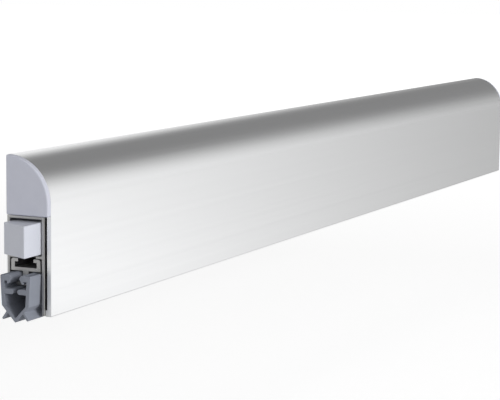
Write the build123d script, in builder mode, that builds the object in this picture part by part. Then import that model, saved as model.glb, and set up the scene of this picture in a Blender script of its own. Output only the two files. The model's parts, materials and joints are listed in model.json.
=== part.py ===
"""Automatic drop-down door bottom seal with a clip-on cover, fixed to the face of a door.

X runs along the strip with the trigger end at -X. Y = 0 is the face of the door and the
front of the strip looks towards -Y. Z = 0 is the lower edge of the housing, flush with the
lower edge of the door. All sizes are in millimetres.
"""

import os
from math import atan2, cos, degrees, radians, sin, sqrt

from build123d import *

os.makedirs("parts", exist_ok=True)

# Housing: an inverted channel with two inner ledges and a fixing flange above it
cover_length = 458.0
housing_overhang = 0.5
housing_depth = 13.0
housing_height = 30.0
housing_wall = 1.0
chamber_height = 10.85
ledge_thickness = 1.05
ledge_reach = 2.1
flange_thickness = 1.6
flange_setback = 0.4
flange_lip_reach = 2.6
flange_lip_thickness = 1.2
fixing_hole_radius = 2.25
outer_fixing_inset = 29.0
inner_fixing_spacing = 130.0

# Cover: flat front, quarter-round top, a hook behind and a foot below
cover_gap = 0.6
cover_wall = 1.4
cover_rise = 18.2
cover_hang = 0.2
cover_rear_gap = 0.5
cover_foot_height = 2.0
cover_edge_round = 0.3
hook_wall = 1.2
hook_reach = 2.2
hook_side_gap = 0.4
hook_gap = 0.3
flange_top_gap = 0.5

# End caps: a quarter-round plate with a spigot inside the cover
cap_thickness = 1.8
cap_seat_gap = 0.1
cap_edge_round = 0.4
spigot_depth = 8.0
spigot_wall = 1.6
spigot_gap = 0.15
spigot_foot_gap = 0.6

# Drop bar: a channel with a slot on top and an anchor foot below
bar_side_gap = 0.4
bar_stop_gap = 0.1
bar_wall = 1.3
bar_floor = 1.1
bar_slot_height = 1.6
bar_lip_thickness = 1.1
bar_lip_reach = 1.1
bar_corner_round = 0.8
stem_width = 2.0
foot_width = 6.4
foot_thickness = 1.2
foot_drop = 4.4

# Seal: clamping lips, two fingers, a V-shaped chamber and two fins
seal_overhang = 6.0
seal_side_gap = 0.25
seal_taper = 0.55
seal_wall = 1.2
seal_top_gap = 0.2
seal_shoulder = 3.5
seal_tip_drop = 1.55
seal_vee_wall = 0.92
seal_brim_round = 0.4
seal_shoulder_round = 0.4
seal_tip_round = 0.3
seal_clamp_gap = 0.1
brim_step = 0.25
lip_thickness = 2.0
lip_groove = 0.25
lip_roll = 1.55
lip_nose_drop = 1.2
lip_bite = 0.75
lip_tip_width = 0.4
lip_tip_rise = 0.2
stem_gap = 0.4
finger_thickness = 1.6
finger_spacing = 1.4
finger_gap = 0.15
fin_thickness = 0.7
fin_length = 2.9
fin_root = 4.2
fin_sink = 0.23
fin_turn = 102.0

# Trigger: a slanted push block on an adjusting screw
trigger_side_gap = 0.3
trigger_floor_gap = 0.35
trigger_roof_gap = 0.8
trigger_reach_front = 9.8
trigger_reach_rear = 4.4
trigger_inner_length = 26.0
trigger_edge = 0.25
screw_radius = 2.5
screw_gap = 0.05
screw_chamfer = 0.5
screw_in_trigger = 18.0
screw_free_length = 13.0
screw_in_coupler = 8.0
nut_flats = 8.0
nut_thickness = 4.0

# Push rod with its coupler and the two spring sliders
rod_width = 8.0
rod_thickness = 3.0
rod_roof_gap = 0.5
rod_end_step = 2.0
slide_gap = 0.3
block_width = 8.6
block_length = 12.0
block_round = 0.8
coupler_head = 10.0
rivet_radius = 1.5
rivet_bite = 4.0

# Bowed leaf springs with their anchors and holders
slider_gap = 13.0
spring_gap = 30.0
spring_half_span = 58.0
spring_thickness = 0.5
spring_tail = 6.0
spring_end_rise = 3.85
spring_slot_gap = 0.05
anchor_side_gap = 0.2
anchor_seat_gap = 0.1
anchor_rod_gap = 0.3
pin_radius = 1.5
pin_gap = 0.05
pin_sink = 0.1
holder_length = 10.0
holder_gap = 0.15
holder_window_gap = 0.2
holder_sill = 0.4
holder_wall = 0.6
holder_bridge = 1.4
holder_round = 0.5

# Places worked out from the sizes above
middle_y = -housing_depth / 2
cover_end = cover_length / 2
housing_length = cover_length + 2 * housing_overhang
chamber_roof = housing_height - housing_wall
chamber_floor = chamber_roof - chamber_height
ledge_height = chamber_floor - ledge_thickness
chamber_width = housing_depth - 2 * housing_wall
cover_depth = housing_depth + cover_gap + cover_wall
cover_round = cover_depth - cover_rear_gap
cover_inner_round = cover_round - cover_wall
cover_top = housing_height + cover_rise
arc_height = cover_top - cover_round
flange_top = cover_top - cover_wall - flange_top_gap
fixing_height = (housing_height + flange_top - flange_lip_thickness) / 2
hook_rear = flange_lip_reach + hook_side_gap
hook_front = hook_rear + hook_wall
hook_top = flange_top - flange_lip_thickness - hook_gap
trigger_inner_end = -cover_end + trigger_inner_length
coupler_start = trigger_inner_end + screw_free_length
rod_start = coupler_start + coupler_head
coupler_end = rod_start + block_length
spring_train = 2 * spring_half_span + 2 * block_length + spring_gap
near_slider_end = coupler_end + slider_gap + block_length
slider_ends = {"near": near_slider_end, "far": near_slider_end + spring_train}
anchor_ends = {place: x + 2 * spring_half_span for place, x in slider_ends.items()}
spring_end_height = chamber_floor + spring_end_rise
pin_setback = (spring_tail + block_length) / 2
pin_places = [(x + pin_setback, spring_end_height) for x in anchor_ends.values()]


def section_box(y_front, y_rear, z_low, z_high):
    """Add a rectangle between two corners of a cross-section to the open sketch."""
    with Locations(((y_front + y_rear) / 2, (z_low + z_high) / 2)):
        Rectangle(y_rear - y_front, z_high - z_low)


def save(piece, name):
    """Label a finished piece and write it to its own file."""
    piece.label = name
    export_step(piece, f"parts/{name}.step")


# Housing profile: channel, ledges and the fixing flange with its hook lip
with BuildPart() as housing:
    with BuildSketch(Plane.YZ.offset(-housing_length / 2)):
        section_box(-housing_wall, 0, 0, housing_height)
        section_box(-housing_depth, -housing_depth + housing_wall, 0, housing_height)
        section_box(-housing_depth, 0, chamber_roof, housing_height)
        section_box(-housing_wall - ledge_reach, 0, ledge_height, chamber_floor)
        section_box(
            -housing_depth, -housing_depth + housing_wall + ledge_reach, ledge_height, chamber_floor
        )
    extrude(amount=housing_length)
    flange_length = cover_length - 2 * flange_setback
    with BuildSketch(Plane.YZ.offset(-flange_length / 2)):
        section_box(-flange_thickness, 0, chamber_roof, flange_top)
        section_box(-flange_lip_reach, 0, flange_top - flange_lip_thickness, flange_top)
    extrude(amount=flange_length)
    with BuildSketch(Plane.XZ):
        for fixing_x in (cover_end - outer_fixing_inset, inner_fixing_spacing / 2):
            with Locations((-fixing_x, fixing_height), (fixing_x, fixing_height)):
                Circle(fixing_hole_radius)
    extrude(amount=flange_thickness, mode=Mode.SUBTRACT)
    with BuildSketch(Plane.XZ):
        with Locations(pin_places):
            Circle(pin_radius + pin_gap)
    extrude(amount=housing_depth, mode=Mode.SUBTRACT)
save(housing.part, "housing_profile")

# Cover profile: one wall from the lower front edge over the quarter-round to the rear edge
hook_middle_y = hook_rear + hook_wall / 2 - cover_rear_gap
hook_root = arc_height + sqrt((cover_round - cover_wall / 2) ** 2 - hook_middle_y**2)
with BuildPart() as cover:
    with BuildSketch(Plane.YZ.offset(-cover_end)) as cover_section:
        with BuildLine():
            Line((-cover_depth, -cover_hang), (-cover_depth, arc_height))
            CenterArc((-cover_rear_gap, arc_height), cover_round, 90, 90)
            Line((-cover_rear_gap, cover_top), (-cover_rear_gap, cover_top - cover_wall))
            CenterArc((-cover_rear_gap, arc_height), cover_inner_round, 90, 90)
            Line((-cover_depth + cover_wall, arc_height), (-cover_depth + cover_wall, -cover_hang))
            Line((-cover_depth + cover_wall, -cover_hang), (-cover_depth, -cover_hang))
        make_face()
        section_box(-cover_depth, -housing_depth, -cover_hang, cover_foot_height - cover_hang)
        section_box(-hook_front, -hook_rear, hook_top - hook_wall, hook_root)
        section_box(-hook_front, -hook_front + hook_reach, hook_top - hook_wall, hook_top)
        front_corner = cover_section.vertices().group_by(Axis.Y)[0].sort_by(Axis.X)[0]
        fillet(front_corner, radius=cover_edge_round)
    extrude(amount=cover_length)
save(cover.part, "cover_profile")

# End caps: the plate lies on the end of the cover and its spigot follows the cover's inner face
spigot_round = cover_inner_round - spigot_gap
spigot_front = cover_depth - cover_wall - spigot_gap
spigot_foot = housing_height + spigot_foot_gap
spigot_rear = hook_front + hook_side_gap
with BuildPart() as near_cap:
    with BuildSketch(Plane.YZ.offset(-cover_end - cap_thickness)):
        with BuildLine():
            cap_base = housing_height + cap_seat_gap
            Line((-cover_rear_gap, cap_base), (-cover_depth, cap_base))
            Line((-cover_depth, cap_base), (-cover_depth, arc_height))
            CenterArc((-cover_rear_gap, arc_height), cover_round, 90, 90)
            Line((-cover_rear_gap, cover_top), (-cover_rear_gap, cap_base))
        make_face()
    extrude(amount=cap_thickness)
    rim = near_cap.faces().sort_by(Axis.X)[0].edges()
    fillet(rim, radius=cap_edge_round)
    with BuildSketch(Plane.YZ.offset(-cover_end)):
        with Locations((-cover_rear_gap, arc_height)):
            Circle(spigot_round)
            Circle(spigot_round - spigot_wall, mode=Mode.SUBTRACT)
        with Locations((-spigot_rear, arc_height)):
            Rectangle(
                2 * cover_depth, 2 * cover_depth, align=(Align.MAX, Align.MIN), mode=Mode.INTERSECT
            )
        section_box(-spigot_front, -spigot_front + spigot_wall, spigot_foot, arc_height)
    extrude(amount=spigot_depth)
save(near_cap.part, "near_end_cap")

with BuildPart() as far_cap:
    mirror(near_cap.part, about=Plane.YZ)
save(far_cap.part, "far_end_cap")

# Drop bar: slot for the spring holders above, anchor foot for the seal below
bar_half = chamber_width / 2 - bar_side_gap
bar_top = ledge_height - bar_stop_gap
slot_top = bar_top - bar_lip_thickness
slot_floor = slot_top - bar_slot_height
bar_base = slot_floor - bar_floor
slot_half = bar_half - bar_wall
mouth_half = slot_half - bar_lip_reach
holder_neck = mouth_half - holder_gap
spring_width = 2 * (holder_neck - holder_wall - holder_window_gap)
foot_base = bar_base - foot_drop
foot_top = foot_base + foot_thickness
with BuildPart() as drop_bar:
    with BuildSketch(Plane.YZ.offset(-housing_length / 2)) as bar_section:
        section_box(middle_y - bar_half, middle_y + bar_half, bar_base, slot_floor)
        section_box(middle_y - bar_half, middle_y - slot_half, bar_base, bar_top)
        section_box(middle_y + slot_half, middle_y + bar_half, bar_base, bar_top)
        section_box(middle_y - bar_half, middle_y - mouth_half, slot_top, bar_top)
        section_box(middle_y + mouth_half, middle_y + bar_half, slot_top, bar_top)
        section_box(middle_y - stem_width / 2, middle_y + stem_width / 2, foot_base, slot_floor)
        section_box(middle_y - foot_width / 2, middle_y + foot_width / 2, foot_base, foot_top)
        crown = bar_section.vertices().group_by(Axis.Y)[-1].sort_by(Axis.X)
        fillet([crown[0], crown[-1]], radius=bar_corner_round)
    extrude(amount=housing_length)
save(drop_bar.part, "drop_bar")

# Seal profile: one half is drawn from the middle line outwards and mirrored
seal_length = housing_length + 2 * seal_overhang
seal_top = bar_base - seal_top_gap
brim_half = chamber_width / 2 - seal_side_gap
brim_top = seal_top - brim_step
shoulder_half = brim_half - seal_taper
vee_rise = seal_shoulder + seal_tip_drop
vee_slant = sqrt(shoulder_half**2 + vee_rise**2)
vee_inner_tip = -seal_tip_drop + seal_vee_wall * vee_slant / shoulder_half
inner_shoulder = shoulder_half - seal_wall
inner_shoulder_height = vee_inner_tip + inner_shoulder * vee_rise / shoulder_half
wall_middle = shoulder_half - seal_wall / 2
lip_nose = stem_width / 2 + stem_gap
lip_crown = lip_nose + lip_roll
lip_base = foot_top + seal_clamp_gap
lip_tip = foot_width / 2 - lip_bite
lip_root = seal_top - lip_thickness
finger_top = foot_base - finger_gap
finger_round = finger_thickness / 2
finger_nose = finger_spacing / 2 + finger_round
vee_angle = degrees(atan2(vee_rise, shoulder_half))
fin_angle = radians(vee_angle - fin_turn)
fin_middle = fin_length / 2 - fin_sink
fin_x = fin_root * shoulder_half / vee_slant + fin_middle * cos(fin_angle)
fin_z = -seal_tip_drop + fin_root * vee_rise / vee_slant + fin_middle * sin(fin_angle)
seal_plane = Plane(origin=(-seal_length / 2, middle_y, 0), x_dir=(0, 1, 0), z_dir=(1, 0, 0))
with BuildPart() as seal:
    with BuildSketch(seal_plane) as seal_section:
        with BuildLine():
            Polyline(
                (brim_half, brim_top),
                (shoulder_half, seal_shoulder),
                (0, -seal_tip_drop),
                (0, vee_inner_tip),
                (inner_shoulder, inner_shoulder_height),
                (brim_half - seal_wall, brim_top),
                close=True,
            )
        make_face()
        with BuildLine():
            Line((wall_middle, brim_top - lip_groove), (lip_crown, seal_top))
            nose_arc = TangentArc(
                (lip_crown, seal_top), (lip_nose, seal_top - lip_nose_drop), tangent=(-1, 0)
            )
            Polyline(
                nose_arc @ 1,
                (lip_tip, lip_base),
                (lip_tip + lip_tip_width, lip_base + lip_tip_rise),
                (lip_tip + lip_tip_width, lip_root),
                (wall_middle, lip_root),
                (wall_middle, brim_top - lip_groove),
            )
        make_face()
        section_box(finger_nose, wall_middle, finger_top - finger_thickness, finger_top)
        with Locations((finger_nose, finger_top - finger_round)):
            Circle(finger_round)
        with Locations((fin_x, fin_z)):
            Rectangle(fin_length, fin_thickness, rotation=degrees(fin_angle))
        mirror(about=Plane.YZ)
        corner_rounds = [
            (brim_half, brim_top, seal_brim_round),
            (-brim_half, brim_top, seal_brim_round),
            (shoulder_half, seal_shoulder, seal_shoulder_round),
            (-shoulder_half, seal_shoulder, seal_shoulder_round),
            (0, -seal_tip_drop, seal_tip_round),
        ]
        for corner_y, corner_z, corner_round in corner_rounds:
            corner = seal_section.vertices().sort_by_distance((corner_y, corner_z))[0]
            fillet(corner, radius=corner_round)
    extrude(amount=seal_length)
save(seal.part, "seal_profile")

# Trigger: its end is slanted so that the front edge reaches out furthest
trigger_half = chamber_width / 2 - trigger_side_gap
trigger_front = middle_y - trigger_half
trigger_rear = middle_y + trigger_half
trigger_base = chamber_floor + trigger_floor_gap
trigger_height = chamber_height - trigger_floor_gap - trigger_roof_gap
axis_height = trigger_base + trigger_height / 2
screw_start = trigger_inner_end - screw_in_trigger
with BuildPart() as trigger:
    with BuildSketch(Plane.XY.offset(trigger_base)):
        with BuildLine():
            Polyline(
                (-cover_end - trigger_reach_front, trigger_front),
                (trigger_inner_end, trigger_front),
                (trigger_inner_end, trigger_rear),
                (-cover_end - trigger_reach_rear, trigger_rear),
                close=True,
            )
        make_face()
    extrude(amount=trigger_height)
    chamfer(trigger.edges(), length=trigger_edge)
    with BuildSketch(Plane((screw_start, middle_y, axis_height), x_dir=(0, 1, 0), z_dir=(1, 0, 0))):
        Circle(screw_radius + screw_gap)
    extrude(amount=screw_in_trigger, mode=Mode.SUBTRACT)
save(trigger.part, "trigger_button")

# Adjusting screw between the trigger and the coupler, with its lock nut against the coupler
screw_plane = Plane((screw_start, middle_y, axis_height), x_dir=(0, 1, 0), z_dir=(1, 0, 0))
screw_length = screw_in_trigger + screw_free_length + screw_in_coupler
with BuildPart() as screw:
    with BuildSketch(screw_plane):
        Circle(screw_radius)
    extrude(amount=screw_length)
    chamfer(screw.edges(), length=screw_chamfer)
save(screw.part, "adjusting_screw")

nut_plane = Plane(
    (coupler_start - nut_thickness, middle_y, axis_height), x_dir=(0, 1, 0), z_dir=(1, 0, 0)
)
with BuildPart() as nut:
    with BuildSketch(nut_plane):
        RegularPolygon(nut_flats / 2, 6, major_radius=False)
        Circle(screw_radius + screw_gap, mode=Mode.SUBTRACT)
    extrude(amount=nut_thickness)
save(nut.part, "lock_nut")

# Coupler: a head that takes the screw and a step that carries the end of the push rod
rod_top = chamber_roof - rod_roof_gap
rod_base = rod_top - rod_thickness
slide_base = chamber_floor + slide_gap
side_plane = Plane.XZ.offset(-middle_y)
with BuildPart() as coupler:
    with BuildSketch(side_plane):
        with BuildLine():
            Polyline(
                (coupler_start, slide_base),
                (coupler_end, slide_base),
                (coupler_end, rod_base),
                (rod_start, rod_base),
                (rod_start, rod_top),
                (coupler_start, rod_top),
                close=True,
            )
        make_face()
    extrude(amount=block_width / 2, both=True)
    end_edges = coupler.edges().filter_by(Axis.Z).group_by(Axis.X)
    fillet(end_edges[0] + end_edges[-1], radius=block_round)
    with BuildSketch(Plane((coupler_start, middle_y, axis_height), x_dir=(0, 1, 0), z_dir=(1, 0, 0))):
        Circle(screw_radius + screw_gap)
    extrude(amount=screw_in_coupler, mode=Mode.SUBTRACT)
    with BuildSketch(Plane.XY.offset(rod_base)):
        with Locations((coupler_end - block_length / 2, middle_y)):
            Circle(rivet_radius)
    extrude(amount=-rivet_bite, mode=Mode.SUBTRACT)
save(coupler.part, "rod_coupler")

# Spring sliders hang under the push rod and each takes the moving end of one spring
rivet_places = [coupler_end - block_length / 2]
for place, face_x in slider_ends.items():
    rivet_x = face_x - block_length / 2 - spring_tail / 2
    rivet_places.append(rivet_x)
    with BuildPart() as slider:
        with BuildSketch(side_plane):
            section_box(face_x - block_length, face_x, slide_base, rod_base)
        extrude(amount=block_width / 2, both=True)
        fillet(slider.edges().filter_by(Axis.Z), radius=block_round)
        with BuildSketch(side_plane):
            section_box(
                face_x - spring_tail - spring_slot_gap,
                face_x,
                spring_end_height - spring_thickness / 2 - spring_slot_gap,
                spring_end_height + spring_thickness / 2 + spring_slot_gap,
            )
        extrude(amount=spring_width / 2 + spring_slot_gap, both=True, mode=Mode.SUBTRACT)
        with BuildSketch(Plane.XY.offset(rod_base)):
            with Locations((rivet_x, middle_y)):
                Circle(rivet_radius)
        extrude(amount=-rivet_bite, mode=Mode.SUBTRACT)
    save(slider.part, f"{place}_spring_slider")

# Push rod along the roof of the upper chamber, riveted to the coupler and the sliders
rod_end = slider_ends["far"] - rod_end_step
with BuildPart() as push_rod:
    with BuildSketch(side_plane):
        section_box(rod_start, rod_end, rod_base, rod_top)
    extrude(amount=rod_width / 2, both=True)
    with BuildSketch(Plane.XY.offset(rod_base)):
        with Locations([(x, middle_y) for x in rivet_places]):
            Circle(rivet_radius)
    extrude(amount=rod_thickness, mode=Mode.SUBTRACT)
save(push_rod.part, "push_rod")

with BuildPart() as rivets:
    with BuildSketch(Plane.XY.offset(rod_base - rivet_bite)):
        with Locations([(x, middle_y) for x in rivet_places]):
            Circle(rivet_radius)
    extrude(amount=rivet_bite + rod_thickness)
save(rivets.part, "rod_rivets")

# Spring anchors are pinned across the housing and hold the fixed ends of the springs
anchor_base = chamber_floor + anchor_seat_gap
anchor_top = rod_base - anchor_rod_gap
anchor_half = chamber_width / 2 - anchor_side_gap
for place, face_x in anchor_ends.items():
    with BuildPart() as anchor:
        with BuildSketch(side_plane):
            section_box(face_x, face_x + block_length, anchor_base, anchor_top)
        extrude(amount=anchor_half, both=True)
        fillet(anchor.edges().filter_by(Axis.Z), radius=block_round)
        with BuildSketch(side_plane):
            section_box(
                face_x,
                face_x + spring_tail + spring_slot_gap,
                spring_end_height - spring_thickness / 2 - spring_slot_gap,
                spring_end_height + spring_thickness / 2 + spring_slot_gap,
            )
        extrude(amount=spring_width / 2 + spring_slot_gap, both=True, mode=Mode.SUBTRACT)
        with BuildSketch(side_plane):
            with Locations((face_x + pin_setback, spring_end_height)):
                Circle(pin_radius + pin_gap)
        extrude(amount=anchor_half, both=True, mode=Mode.SUBTRACT)
    save(anchor.part, f"{place}_spring_anchor")

with BuildPart() as pins:
    with BuildSketch(Plane.XZ.offset(pin_sink)):
        with Locations(pin_places):
            Circle(pin_radius)
    extrude(amount=housing_depth - 2 * pin_sink)
save(pins.part, "anchor_pins")

# Leaf springs: an S-curve down to the holder on the drop bar and another one back up
holder_base = slot_floor + holder_gap / 2
window_base = bar_top - holder_sill
bow_height = window_base + holder_window_gap + spring_thickness / 2
bow_drop = spring_end_height - bow_height
bow_step = spring_half_span / 2
bow_radius = (bow_step**2 + (bow_drop / 2) ** 2) / bow_drop
bow_middle = spring_end_height - bow_drop / 2
for place, start_x in slider_ends.items():
    bow_x = start_x + spring_half_span
    end_x = anchor_ends[place]
    with BuildPart() as leaf:
        with BuildLine(side_plane) as bow:
            Line((start_x - spring_tail, spring_end_height), (start_x, spring_end_height))
            RadiusArc((start_x, spring_end_height), (start_x + bow_step, bow_middle), bow_radius)
            RadiusArc((start_x + bow_step, bow_middle), (bow_x, bow_height), -bow_radius)
            RadiusArc((bow_x, bow_height), (bow_x + bow_step, bow_middle), -bow_radius)
            RadiusArc((bow_x + bow_step, bow_middle), (end_x, spring_end_height), bow_radius)
            Line((end_x, spring_end_height), (end_x + spring_tail, spring_end_height))
        tail_plane = Plane(
            (start_x - spring_tail, middle_y, spring_end_height), x_dir=(0, 1, 0), z_dir=(1, 0, 0)
        )
        with BuildSketch(tail_plane):
            Rectangle(spring_width, spring_thickness)
        sweep()
    save(leaf.part, f"{place}_leaf_spring")

    # Spring holder: a foot in the slot of the drop bar with a window for the leaf spring
    window_top = bow_height + spring_thickness / 2 + holder_window_gap
    with BuildPart() as holder:
        with BuildSketch(Plane.YZ.offset(bow_x - holder_length / 2)):
            section_box(
                middle_y - slot_half + holder_gap,
                middle_y + slot_half - holder_gap,
                holder_base,
                slot_top - holder_gap,
            )
            section_box(
                middle_y - holder_neck,
                middle_y + holder_neck,
                holder_base,
                window_top + holder_bridge,
            )
            with Locations((middle_y, (window_base + window_top) / 2)):
                Rectangle(
                    spring_width + 2 * holder_window_gap, window_top - window_base, mode=Mode.SUBTRACT
                )
        extrude(amount=holder_length)
        fillet(holder.edges().filter_by(Axis.X).group_by(Axis.Z)[-1], radius=holder_round)
    save(holder.part, f"{place}_spring_holder")
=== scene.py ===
"""Fine form, finishes, studio and camera of a drop-down door bottom seal strip.

Every length is in metres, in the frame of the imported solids. X runs along the strip with the
trigger end at -X, Y = 0 is the face of the door, and Z = 0 is the lower edge of the housing.
"""

import json
import logging
import math
from dataclasses import dataclass
from enum import Enum
from typing import Any, Sequence

import bmesh
import bpy
import numpy as np
from mathutils import Euler, Matrix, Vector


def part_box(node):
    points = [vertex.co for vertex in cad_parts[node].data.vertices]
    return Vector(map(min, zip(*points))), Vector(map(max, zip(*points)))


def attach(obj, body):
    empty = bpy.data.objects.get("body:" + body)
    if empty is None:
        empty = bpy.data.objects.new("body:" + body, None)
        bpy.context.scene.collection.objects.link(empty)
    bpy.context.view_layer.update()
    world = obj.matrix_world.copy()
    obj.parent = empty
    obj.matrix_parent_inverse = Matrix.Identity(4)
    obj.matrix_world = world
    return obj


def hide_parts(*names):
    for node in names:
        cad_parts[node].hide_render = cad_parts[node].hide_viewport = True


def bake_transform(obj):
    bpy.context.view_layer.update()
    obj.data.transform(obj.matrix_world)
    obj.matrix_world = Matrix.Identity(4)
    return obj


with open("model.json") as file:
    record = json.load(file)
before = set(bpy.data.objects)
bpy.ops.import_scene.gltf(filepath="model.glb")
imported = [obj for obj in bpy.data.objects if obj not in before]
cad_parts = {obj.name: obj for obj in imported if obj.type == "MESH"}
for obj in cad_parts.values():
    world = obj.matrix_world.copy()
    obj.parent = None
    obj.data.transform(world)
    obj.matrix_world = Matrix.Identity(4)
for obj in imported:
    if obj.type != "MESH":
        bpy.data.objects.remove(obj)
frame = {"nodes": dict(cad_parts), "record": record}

Colour = tuple[float, float, float, float]
Point = tuple[float, float, float]
Pair = tuple[float, float]
Socket = bpy.types.NodeSocket

MM = 0.001
WHITE: Colour = (1, 1, 1, 1)
log = logging.getLogger("door_seal")

# Angles in a cross-section of Y and Z, in degrees
UPWARDS = 90.0
FRONTWARDS = 180.0
DOWNWARDS = 270.0


class Body(Enum):
    """The bodies that move apart from each other."""

    HOUSING = "housing"
    DROP_SEAL = "drop_seal"
    TRIGGER = "trigger"


class Slot(Enum):
    """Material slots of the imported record."""

    ANODISED = "anodised_aluminium"
    MILL = "mill_aluminium"
    CAP = "cap_plastic"
    TRIGGER = "trigger_plastic"
    RUBBER = "seal_rubber"
    SLIDER = "slider_plastic"
    SPRING = "spring_steel"
    ZINC = "zinc_steel"


class Mixed(Enum):
    """What a mix node mixes: its data type, the numbers of its two inputs and that of its output."""

    VALUE = ("FLOAT", 2, 3, 0)
    COLOUR = ("RGBA", 6, 7, 2)


@dataclass(frozen=True)
class Outline:
    """A closed cross-section, counter-clockwise, with the outward unit normal of each point."""

    points: np.ndarray
    normals: np.ndarray


@dataclass(frozen=True)
class Axes:
    """Directions that carry a cross-section into space: u and v lie in it, w runs along the piece."""

    u: Point
    v: Point
    w: Point


ALONG_X = Axes((0, 1, 0), (0, 0, 1), (1, 0, 0))
ALONG_Z = Axes((1, 0, 0), (0, 1, 0), (0, 0, 1))


@dataclass(frozen=True)
class Shell:
    """A closed surface: vertices, side faces of four corners, end faces, and vertex normals if known."""

    vertices: np.ndarray
    quads: np.ndarray
    caps: list[list[int]]
    normals: np.ndarray | None = None


def corner(u: float, v: float, radius: float) -> np.ndarray:
    """One corner of a cross-section and the radius that rounds it."""
    return np.array([[u, v, radius]])


def arc(centre: Pair, radius: float, start: float, end: float, steps: int) -> np.ndarray:
    """Points on a circle, evenly spaced between two angles.

    Args:
        centre: Middle of the circle.
        radius: Radius of the circle.
        start: First angle in degrees.
        end: Last angle in degrees.
        steps: Number of points.

    Returns:
        Rows of place and a rounding radius of zero.
    """
    angle = np.radians(np.linspace(start, end, steps))
    return np.column_stack(
        (centre[0] + radius * np.cos(angle), centre[1] + radius * np.sin(angle), np.zeros(steps))
    )


def circle_at(centre: Pair, radius: float, u: float) -> Pair:
    """Where the upper half of a circle passes a place u.

    The angle is the one whose cosine is the distance from the centre, along u, over the radius.

    Args:
        centre: Middle of the circle.
        radius: Radius of the circle.
        u: The place.

    Returns:
        The angle in degrees and the height v.
    """
    angle = math.acos((u - centre[0]) / radius)
    return math.degrees(angle), centre[1] + radius * math.sin(angle)


def mirrored_rows(rows: np.ndarray) -> np.ndarray:
    """The same rows on the other side of u = 0, in reverse order."""
    return rows[::-1] * np.array([-1.0, 1.0, 1.0])


def rounded_outline(stretches: Sequence[np.ndarray], steps: int = 6) -> Outline:
    """Join stretches of corners into a closed outline with rounded corners.

    At a corner with direction a before it and b after it, the outline leaves the first line at
    radius times the tangent of half the turn, follows a circle of that radius while its direction
    turns evenly from a to b, and meets the second line. The normal lies to the right of the
    direction. A corner with no radius is one point that takes the direction half-way through its turn.

    Args:
        stretches: Rows of u, v and rounding radius, in order round the outline.
        steps: Points on each rounded corner.

    Returns:
        The outline, turned counter-clockwise.
    """
    rows = np.concatenate(stretches)
    ahead = np.roll(rows, -1, axis=0)
    if np.sum(rows[:, 0] * ahead[:, 1] - ahead[:, 0] * rows[:, 1]) < 0:
        rows = rows[::-1]
    place, radius = rows[:, :2], rows[:, 2]
    before = place - np.roll(place, 1, axis=0)
    before /= np.linalg.norm(before, axis=1, keepdims=True)
    after = np.roll(before, -1, axis=0)
    cross = before[:, 0] * after[:, 1] - before[:, 1] * after[:, 0]
    turn = np.arctan2(cross, np.sum(before * after, axis=1))
    share = np.where(radius[:, None] > 0, np.linspace(0, 1, steps)[None, :], 0.5)
    angle = np.arctan2(before[:, 1], before[:, 0])[:, None] + turn[:, None] * share
    normals = np.stack((np.sin(angle), -np.cos(angle)), axis=2)
    leave = place - before * (radius * np.tan(np.abs(turn) / 2))[:, None]
    signed = (np.sign(turn) * radius)[:, None]
    first = np.stack((before[:, 1], -before[:, 0]), axis=1)
    centre = leave - first * signed
    points = centre[:, None, :] + normals * signed[:, :, None]
    kept = np.logical_or(radius[:, None] > 0, np.arange(steps)[None, :] == 0)
    return Outline(points[kept], normals[kept])


def ring_faces(rings: int, count: int) -> np.ndarray:
    """Four-cornered faces between neighbouring closed rings of the same number of points.

    Args:
        rings: Number of rings, stored one after the other.
        count: Points on each ring.

    Returns:
        Rows of four vertex numbers, in order round each face.
    """
    start = (np.arange(rings - 1) * count)[:, None]
    here = np.arange(count)[None, :]
    there = (here + 1) % count
    faces = np.stack((start + here, start + there, start + count + there, start + count + here), axis=2)
    return faces.reshape(-1, 4)


def end_faces(rings: int, count: int) -> list[list[int]]:
    """The two faces that close the first and the last ring.

    Args:
        rings: Number of rings, stored one after the other.
        count: Points on each ring.

    Returns:
        The vertex numbers of both faces, which look away from each other.
    """
    first = list(range(count))
    last = list(range((rings - 1) * count, rings * count))
    return [first[::-1], last]


def tube(grid: np.ndarray, normals: np.ndarray | None = None) -> Shell:
    """Close a grid of rings into a shell.

    Args:
        grid: Places by ring and by point on the ring.
        normals: Their normals in the same order, if known.

    Returns:
        The closed shell.
    """
    rings, count = grid.shape[:2]
    known = None if normals is None else normals.reshape(-1, 3)
    return Shell(grid.reshape(-1, 3), ring_faces(rings, count), end_faces(rings, count), known)


def prism(
    outline: Outline, axes: Axes, low: float, high: float, low_rim: float, high_rim: float, steps: int = 4
) -> Shell:
    """Carry an outline along a straight line, with rounded rims at both ends.

    A rim is a quarter circle: at angle t the ring is drawn in along its normals by rim * (1 - sin t)
    and stands rim * (1 - cos t) inside the end, and its normal turns from the end face to the side.

    Args:
        outline: Cross-section.
        axes: Directions of the cross-section and of the line.
        low: Place of the first end along the line.
        high: Place of the last end along the line.
        low_rim: Rim radius at the first end.
        high_rim: Rim radius at the last end.
        steps: Rings on each rim.

    Returns:
        The closed shell with its exact normals.
    """
    angle = np.linspace(0, math.pi / 2, steps)
    drawn_in, inside = 1 - np.sin(angle), 1 - np.cos(angle)
    inset = np.concatenate((low_rim * drawn_in, high_rim * drawn_in[::-1]))
    along = np.concatenate((low + low_rim * inside, high - high_rim * inside[::-1]))
    lean = np.concatenate((-np.cos(angle), np.cos(angle[::-1])))
    flat = outline.points[None, :, :] - inset[:, None, None] * outline.normals[None, :, :]
    out = np.sqrt(1 - lean**2)[:, None, None] * outline.normals[None, :, :]
    u, v, w = (np.array(axis, float) for axis in (axes.u, axes.v, axes.w))
    vertices = flat[..., :1] * u + flat[..., 1:] * v + along[:, None, None] * w
    normals = out[..., :1] * u + out[..., 1:] * v + lean[:, None, None] * w
    return tube(vertices, normals)


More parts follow.
